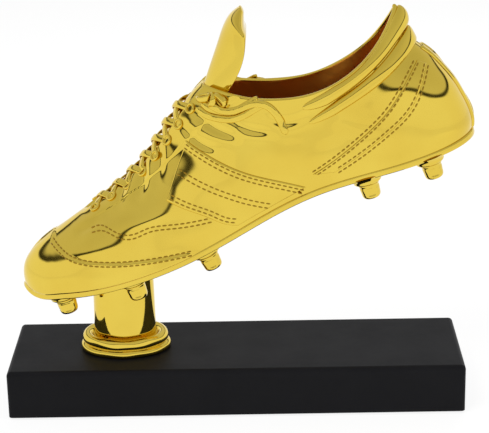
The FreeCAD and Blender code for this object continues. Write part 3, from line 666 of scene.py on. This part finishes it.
def heel_strip():
    """The raised strip up the back of the heel, with rounded edges."""
    rows, columns = 90, 24
    low, high = HEEL_STRIP_LEVELS
    level = np.linspace(low, high, rows)[:, None]
    off = np.linspace(-1, 1, columns)[None, :] * HEEL_STRIP_HALF
    side = np.where(off < 0, -1.0, 1.0) * np.ones_like(level)
    girth = np.abs(form(0.98, level, side)[..., 1]) / math.sin(math.pi * 0.98)
    around = 1 - np.arcsin(np.clip(np.abs(off) / girth, 0, 1)) / math.pi
    edge = np.minimum(1 - np.abs(off) / HEEL_STRIP_HALF, np.minimum(level - low, high - level) * 20)
    edge = np.clip(edge * 4, 0, 1)
    height = -0.4 + 1.7 * np.sqrt(edge * (2 - edge))
    points = skin(around, np.broadcast_to(level, side.shape), side, height)
    add_mesh("heel_back_strip", points, grid_faces(rows, columns), GOLD, "heel_strip")


def tongue():
    """The padded tongue: thick bent sections along a line that leaves the throat and stands up."""
    ridge = Line(TONGUE_LINE)
    width, thick, bend = (Spline([share for share, _ in table], [size for _, size in table])
                          for table in (TONGUE_HALF_WIDTH, TONGUE_THICKNESS, TONGUE_BEND))
    rows, sides = 90, 72
    angle = np.linspace(0, 2 * math.pi, sides, endpoint=False)
    rings = []
    for t in np.linspace(0, 1, rows):
        x, z = ridge(t)
        ahead, behind = ridge(min(t + 0.01, 1)), ridge(max(t - 0.01, 0))
        tx, tz = ahead[0] - behind[0], ahead[1] - behind[1]
        length = math.hypot(tx, tz)
        back = np.array([tz / length, 0, -tx / length])
        across, deep = np.cos(angle), np.sin(angle)
        offset = thick(t) / 2 * (1 + deep) + bend(t) * across ** 2
        start = np.stack([np.full(sides, x), across * width(t), np.full(sides, z + BLOCK_TOP)], -1)
        rings.append(start + back * offset[:, None])
    rings = np.array(rings)
    middle = rings[-1].mean(0)
    ahead = rings[-1] - rings[-2]
    ahead = ahead.mean(0) / np.linalg.norm(ahead.mean(0))
    dome = [middle + (rings[-1] - middle) * math.cos(a) + ahead * 1.5 * math.sin(a)
            for a in np.linspace(0, math.pi / 2, 8)[1:-1]]
    points = np.vstack([rings.reshape(-1, 3), np.array(dome).reshape(-1, 3), middle + ahead * 1.5])
    rows += len(dome)
    faces = grid_faces(rows, sides, close_columns=True)
    last = (rows - 1) * sides
    caps = [[last + k, last + (k + 1) % sides, rows * sides, rows * sides] for k in range(sides)]
    add_mesh("boot_tongue", points * MM, np.vstack([faces, caps]), GOLD, "tongue")


def eyelet_levels():
    return [0.42 + 0.50 * i / LACE_ROWS for i in range(LACE_ROWS + 1)]


def eyelet_off(i):
    return 8.5 + 4.5 * i / LACE_ROWS


def eyelets(side, name, node):
    parts = []
    tube = np.linspace(0, 2 * math.pi, 12, endpoint=False)
    ring = np.linspace(0, 2 * math.pi, 36, endpoint=False)
    for i, level in enumerate(eyelet_levels()):
        around, lev = across_place(level, eyelet_off(i), side)
        normal = form_normal(around, lev, side).reshape(3)
        centre = skin(around, lev, side, 0.35).reshape(3)
        first = np.cross(normal, [0, 1, 0])
        first /= np.linalg.norm(first)
        second = np.cross(normal, first)
        outward = first * np.cos(ring)[:, None] + second * np.sin(ring)[:, None]
        circle = centre + outward * 2.7 * MM
        points = (circle[:, None] + outward[:, None] * np.cos(tube)[None, :, None] * 0.9 * MM
                  + normal * np.sin(tube)[None, :, None] * 0.75 * MM)
        parts.append((points, grid_faces(36, 12, close_rows=True, close_columns=True)))
    points, faces = joined(parts)
    add_mesh(name, points, faces, GOLD_CAST, node)


def lace_row(i):
    """Two flat strands that cross over the instep between one pair of eyelets and the next."""
    levels = eyelet_levels()
    parts = []
    for layer, start_side in enumerate((-1, 1)):
        t = np.linspace(0, 1, 9)
        level = levels[i] + (levels[i + 1] - levels[i]) * t
        off = (eyelet_off(i) + (eyelet_off(i + 1) - eyelet_off(i)) * t) * (1 - 2 * t)
        side = np.where(off > 0, start_side, -start_side).astype(float)
        around, lev = across_place(level, np.abs(off), side)
        around, lev = np.where(np.abs(off) < 0.01, 0, around), np.where(np.abs(off) < 0.01, level, lev)
        bow = np.sin(math.pi * t)
        lift = 0.5 + 0.9 * bow ** 0.5 + layer * 1.5 * bow ** 2
        knots = form(around, lev, side) + form_normal(around, lev, side) * lift[:, None]
        knots[:, 2] += BLOCK_TOP
        path = smooth_path(knots * MM, 44)
        up = smooth_path(form_normal(around, lev, side), 44)
        parts.append(strap(path, up, 4.6 * MM, 1.4 * MM))
    points, faces = joined(parts)
    add_mesh(f"lace_cross_{i + 1}", points, faces, GOLD_CLOTH, f"lace_row_{i + 1}")


def side_lace(line, side, lift, width=4.4, thick=2.0, count=80):
    path, up = along_side(line, side, 0, count)
    lift = np.interp(np.linspace(0, 1, count), np.linspace(0, 1, len(lift)), lift)
    return strap(path + up * lift[:, None] * MM, up, width * MM, thick * MM)


def bow():
    """A loop and a tail lying on each side, and the crumpled knot beside the throat on the outer side."""
    for side, name, node in ((-1, "bow_outer", "bow_loop_outer"), (1, "bow_inner", "bow_loop_inner")):
        parts = [side_lace(BOW_LOOP, side, [2.4, 1.8, 1.4, 1.4, 1.8, 2.0]),
                 side_lace(beside(BOW_LOOP, 4.2), side, [2.6, 2.6, 2.4, 2.4, 2.6, 2.0]),
                 side_lace(BOW_TAIL, side, [3.4, 3.4, 3.0, 2.6, 2.0, 1.4, 1.3])]
        points, faces = joined(parts)
        add_mesh(name, points, faces, GOLD_CLOTH, node)
    parts = []
    turns = ((0.3, 4.2, 2.6), (1.5, 3.8, 3.0), (2.5, 4.4, 2.6))
    for (x, z), (turn, long, short) in zip(KNOT_PLACES, turns):
        around, level = place(x, z, -1)
        centre = skin(around, level, -1, 3.2).reshape(3)
        up = form_normal(around, level, -1).reshape(3)
        first = np.cross(up, [0, 0, 1])
        first /= np.linalg.norm(first)
        second = np.cross(up, first)
        along = first * math.cos(turn) + second * math.sin(turn)
        over = (second * math.cos(turn) - first * math.sin(turn)) * 0.6 + up * 0.7
        angle = np.linspace(0, 2 * math.pi, 9)[:-1]
        ring = along * np.cos(angle)[:, None] * long + over * np.sin(angle)[:, None] * short
        ring = centre + ring * MM
        path = smooth_path(np.vstack([ring, ring[:1]]), 60)
        parts.append(strap(path, path - centre, 3.8 * MM, 2.0 * MM, taper=0))
    points, faces = joined(parts)
    add_mesh("bow_knot", points, faces, GOLD_CLOTH, "lace_knot")


def outsole():
    """The sole plate, rounded at its edge, on the boot's own outline."""
    around, side = ring_places(AROUND_STEPS)
    outline = form(around, 0.03, side)
    flat = outline[:, :2]
    ahead = tangents(flat, closed=True)
    outward = np.stack([ahead[:, 1], -ahead[:, 0]], -1)
    profile = [(-1.0, 0.0), (SOLE_MARGIN - 0.9, 0.0), (SOLE_MARGIN - 0.3, -0.25), (SOLE_MARGIN, -0.9),
               (SOLE_MARGIN, -3.2), (SOLE_MARGIN - 0.35, -3.9), (SOLE_MARGIN - 1.1, -SOLE_THICKNESS),
               (SOLE_MARGIN - 4.5, -SOLE_THICKNESS), (SOLE_MARGIN - 5.2, -SOLE_THICKNESS + 0.7)]
    shrinks = [1.0, 0.75, 0.5, 0.25, 0.0]
    rings = []
    # 0 at the toe, where the sole is tucked under the leather, and 1 behind it.
    flush = step(flat[:, 0], -118, -90)[:, None]

    def ring_at(offset, drop, shrink=1.0):
        p = flat + outward * (min(offset, 0) + max(offset, 0) * flush - 0.8 * (1 - flush))
        x, y = p[:, 0], p[:, 1] * shrink
        slope = (SOLE_HEIGHT(x + 1) - SOLE_HEIGHT(x - 1)) / 2
        lean = np.hypot(1, slope)
        return np.stack([x - drop * slope / lean, y, SOLE_HEIGHT(x) + drop / lean + BLOCK_TOP], -1) * MM

    for shrink in shrinks[::-1]:
        rings.append(ring_at(-3.0, 0.0, shrink))
    for offset, drop in profile:
        rings.append(ring_at(offset, drop))
    for shrink in shrinks:
        rings.append(ring_at(SOLE_MARGIN - 6.5, -SOLE_THICKNESS + 0.8, shrink))
    rings = np.array(rings)
    faces = grid_faces(len(rings), rings.shape[1], close_columns=True)
    add_mesh("boot_outsole", rings, faces, GOLD, "outsole")


def stud_frame(spot, side):
    x, off = spot
    slope = float(SOLE_HEIGHT(x + 1) - SOLE_HEIGHT(x - 1)) / 2
    down = Vector((slope, 0, -1)).normalized()
    top = Vector((x, side * off, BLOCK_TOP + float(SOLE_HEIGHT(x))))
    turn = Vector((0, 0, 1)).rotation_difference(down).to_matrix()
    return top + down * SOLE_THICKNESS, np.array(turn)


def studs():
    """Each stud with its flange, two wrench flats and domed tip, and its raised boss on the sole."""
    boss = rounded([(11.0, -1.2), (9.8, 0.2), (9.0, 1.6), (8.6, 3.0), (7.8, 3.6), (6.0, 3.7),
                    (0.2, 3.7)], 5)
    body = rounded([(0.2, 3.7), (5.6, 3.7), (6.4, 4.0), (6.5, 4.9), (6.1, 5.6), (6.1, 6.4), (5.9, 9.5),
                    (5.6, 12.0), (4.8, 13.3), (3.0, 13.8), (0.2, 13.9)], 5)
    names = ("toe", "tread", "ball", "heel_front", "heel_rear")
    bosses = []
    for name, spot in zip(names, STUD_PLACES):
        for side_name, side in (("outer", -1), ("inner", 1)):
            seat, turn = stud_frame(spot, side)
            rings, faces = lathe(body, 64)
            window = (rings[..., 2] > 6.4) & (rings[..., 2] < 11.6)
            clipped = np.clip(rings[..., 1], -STUD_FLAT, STUD_FLAT)
            rings[..., 1] = np.where(window, clipped, rings[..., 1])
            points = (rings @ turn.T + np.array(seat)) * MM
            node = f"stud_{name}_{side_name}"
            add_mesh(f"{node}_body", points, faces, GOLD_CAST, node)
            rings, faces = lathe(boss, 64)
            bosses.append(((rings @ turn.T + np.array(seat)) * MM, faces))
    points, faces = joined(bosses)
    add_mesh("stud_bosses", points, faces, GOLD)


def pedestal():
    """The stepped foot ring, slightly uneven as a casting is, and the tapered column."""
    column_low, column_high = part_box("pedestal_column")
    foot_low, foot_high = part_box("pedestal_foot")
    centre_x = (column_low[0] + column_high[0]) / 2 / MM
    r = (foot_high[0] - foot_low[0]) / 2 / MM
    column_r = (column_high[0] - column_low[0]) / 2 / MM
    top = column_high[2] / MM - BLOCK_TOP
    beads = rounded([(r - 2.2, 0.1), (r - 0.4, 0.8), (r, 2.3), (r - 0.8, 4.1), (r - 2.4, 5.1)], 8)
    roll = rounded([(r - 2.4, 5.1), (r - 1.7, 6.6), (r - 1.9, 9.0), (r - 3.9, 11.3), (r - 6.2, 11.4),
                    (r - 8.0, 9.9), (r - 9.4, 9.0), (column_r - 1, 9.2)], 8)
    rings, faces = lathe(np.vstack([[(column_r, 0.1)], beads, roll[1:]]), 160, OVAL)
    angle = np.arctan2(rings[..., 1], rings[..., 0])
    wobble = 1 + 0.010 * np.sin(3 * angle + 0.6) + 0.006 * np.sin(7 * angle + rings[..., 2] * 0.5)
    rings[..., 0] = rings[..., 0] * np.minimum(wobble, r / np.maximum(rings[..., 0].max(), 1e-6))
    rings[..., 1] *= wobble
    rings[..., 2] += 0.25 * np.sin(5 * angle) * step(rings[..., 2], 5, 9)
    rings += np.array([centre_x, 0, BLOCK_TOP])
    add_mesh("pedestal_foot_ring", rings * MM, faces, GOLD_CAST, "pedestal_foot")
    height = np.linspace(3, top, 60)
    radius = column_r - (column_r - COLUMN_TOP_RADIUS) * height / top
    rings, faces = lathe(np.stack([radius, height], -1), 128, OVAL)
    x = rings[..., 0] + centre_x
    ceiling = SOLE_HEIGHT(x) - SOLE_THICKNESS * 1.03
    rings[..., 2] = np.minimum(rings[..., 2], ceiling + 0.3)
    rings += np.array([centre_x, 0, BLOCK_TOP])
    add_mesh("pedestal_column_skin", rings * MM, faces, GOLD_CAST, "pedestal_column")


def dress_cad_nodes():
    """Finishes for the CAD pieces that stay as they are."""
    by_node = {"base_block": LACQUER, "base_felt": FELT, "clamp_bolt": STEEL, "clamp_washer": STEEL,
               "locating_dowels": STEEL, "sole_insert": BRASS, "insole_board": GOLD}
    for node, material in by_node.items():
        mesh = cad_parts[node].data
        mesh.materials.clear()
        mesh.materials.append(material)


upper()
for side, name in ((-1, "outer"), (1, "inner")):
    panel(f"saddle_panel_{name}", SADDLE_LOW, SADDLE_TOP, side, SADDLE_RISE, f"saddle_{name}")
    panel(f"quarter_strap_{name}", STRAP_FRONT, STRAP_BACK, side, STRAP_RISE, f"strap_{name}")
    eyelets(side, f"eyelet_rings_{name}", f"eyelets_{name}")
seams()
collar("collar_upper_roll", "collar_roll", level=0.925, spread=0.065, rise=2.9, front=0.48)
collar("collar_lower_roll", "collar_band", level=0.79, spread=0.06, rise=2.9, front=0.52)
heel_strip()
tongue()
for number in range(LACE_ROWS):
    lace_row(number)
bow()
outsole()
studs()
pedestal()
dress_cad_nodes()


# ---- floor, light and camera ----
FLOOR_HALF = 6.0
FLOOR_GLOW = 0.86  # share of plain white in what is seen of the floor, which leaves its shadow
# Brightness of the room by height: white at the horizon, one thin dark band, then a pale ceiling.
ROOM_BANDS = [(0.0, 1.0), (0.32, 1.0), (0.36, 0.04), (0.39, 0.05), (0.44, 0.72), (1.0, 0.60)]
LAMP_TARGET = (0, 0, 0.13)
CAMERA_PLACE = (0.016, -1.003, 0.471)
CAMERA_TURN, CAMERA_DOWN, CAMERA_ROLL = -0.52, 19.37, -1.13
CAMERA_LENS = 125.55
SENSOR_WIDTH = 36.0


def any_ray(nodes, links, rays):
    """1 for what the camera sees directly, by reflection or through glass."""
    total = rays.outputs["Is Camera Ray"]
    for name in ("Is Glossy Ray", "Is Transmission Ray"):
        larger = nodes.new("ShaderNodeMath")
        larger.operation = "MAXIMUM"
        links.new(total, larger.inputs[0])
        links.new(rays.outputs[name], larger.inputs[1])
        total = larger.outputs["Value"]
    return total


def studio():
    floor_mesh = bpy.data.meshes.new("floor")
    half = FLOOR_HALF
    corners = [(-half, -half, 0), (half, -half, 0), (half, half, 0), (-half, half, 0)]
    floor_mesh.from_pydata(corners, [], [(0, 1, 2, 3)])
    floor = bpy.data.objects.new("floor", floor_mesh)
    bpy.context.collection.objects.link(floor)
    material = bpy.data.materials.new("floor_paint")
    material.use_nodes = True
    nodes, links = material.node_tree.nodes, material.node_tree.links
    paint = nodes["Principled BSDF"]
    paint.inputs["Base Color"].default_value = (0.90, 0.90, 0.90, 1)
    paint.inputs["Roughness"].default_value = 0.9
    paint.inputs["Specular IOR Level"].default_value = 0.1
    glow = nodes.new("ShaderNodeEmission")
    glow.inputs["Strength"].default_value = 1.0
    rays = nodes.new("ShaderNodeLightPath")
    seen = any_ray(nodes, links, rays)
    share = nodes.new("ShaderNodeMath")
    share.operation = "MULTIPLY"
    share.inputs[1].default_value = FLOOR_GLOW
    links.new(seen, share.inputs[0])
    mix = nodes.new("ShaderNodeMixShader")
    links.new(share.outputs["Value"], mix.inputs["Fac"])
    links.new(paint.outputs["BSDF"], mix.inputs[1])
    links.new(glow.outputs["Emission"], mix.inputs[2])
    links.new(mix.outputs["Shader"], nodes["Material Output"].inputs["Surface"])
    floor.data.materials.append(material)

    world = bpy.context.scene.world or bpy.data.worlds.new("studio")
    bpy.context.scene.world = world
    world.use_nodes = True
    nodes, links = world.node_tree.nodes, world.node_tree.links
    nodes.clear()
    direction = nodes.new("ShaderNodeTexCoord")
    split = nodes.new("ShaderNodeSeparateXYZ")
    links.new(direction.outputs["Generated"], split.inputs["Vector"])
    bands = nodes.new("ShaderNodeValToRGB")
    bands.color_ramp.interpolation = "EASE"
    ramp_stops = bands.color_ramp.elements
    while len(ramp_stops) < len(ROOM_BANDS):
        ramp_stops.new(0.5)
    for stop, (position, grey) in zip(ramp_stops, ROOM_BANDS):
        stop.position = position
        stop.color = (grey, grey, grey, 1)
    links.new(split.outputs["Z"], bands.inputs["Fac"])
    room = nodes.new("ShaderNodeBackground")
    links.new(bands.outputs["Color"], room.inputs["Color"])
    out = nodes.new("ShaderNodeOutputWorld")
    links.new(room.outputs["Background"], out.inputs["Surface"])

    def softbox(name, spot, wide, tall, watts):
        """A lamp that lights the block and the floor, and doesn't show as a shape in the gold."""
        light = bpy.data.lights.new(name, "AREA")
        light.shape = "RECTANGLE"
        light.size, light.size_y = wide, tall
        light.energy = watts
        lamp = bpy.data.objects.new(name, light)
        bpy.context.collection.objects.link(lamp)
        aim = Vector(LAMP_TARGET) - Vector(spot)
        lamp.visible_glossy = False
        lamp.matrix_world = Matrix.Translation(spot) @ aim.to_track_quat("-Z", "Y").to_matrix().to_4x4()

    softbox("key", (-0.5, -0.6, 1.2), wide=0.7, tall=0.5, watts=10)
    softbox("fill", (0.9, -0.5, 0.6), wide=0.5, tall=0.8, watts=4)
    softbox("rim", (0.2, 0.9, 0.8), wide=0.9, tall=0.5, watts=5)


def camera():
    """A metre in front of the outer side, looking down."""
    turn, down, roll = (math.radians(angle) for angle in (CAMERA_TURN, CAMERA_DOWN, CAMERA_ROLL))
    forward = Vector((math.sin(turn) * math.cos(down), math.cos(turn) * math.cos(down), -math.sin(down)))
    right = Vector((math.cos(turn), -math.sin(turn), 0))
    up = right.cross(forward)
    tilted_right = right * math.cos(roll) + up * math.sin(roll)
    tilted_up = up * math.cos(roll) - right * math.sin(roll)
    data = bpy.data.cameras.new("camera")
    data.sensor_width = SENSOR_WIDTH
    data.lens = CAMERA_LENS
    data.clip_start = 0.01
    view = bpy.data.objects.new("camera", data)
    bpy.context.collection.objects.link(view)
    rotation = Matrix((tilted_right, tilted_up, -forward)).transposed().to_4x4()
    view.matrix_world = Matrix.Translation(CAMERA_PLACE) @ rotation
    bpy.context.scene.camera = view


studio()
camera()
bpy.context.scene.view_settings.view_transform = "Standard"
bpy.context.view_layer.update()
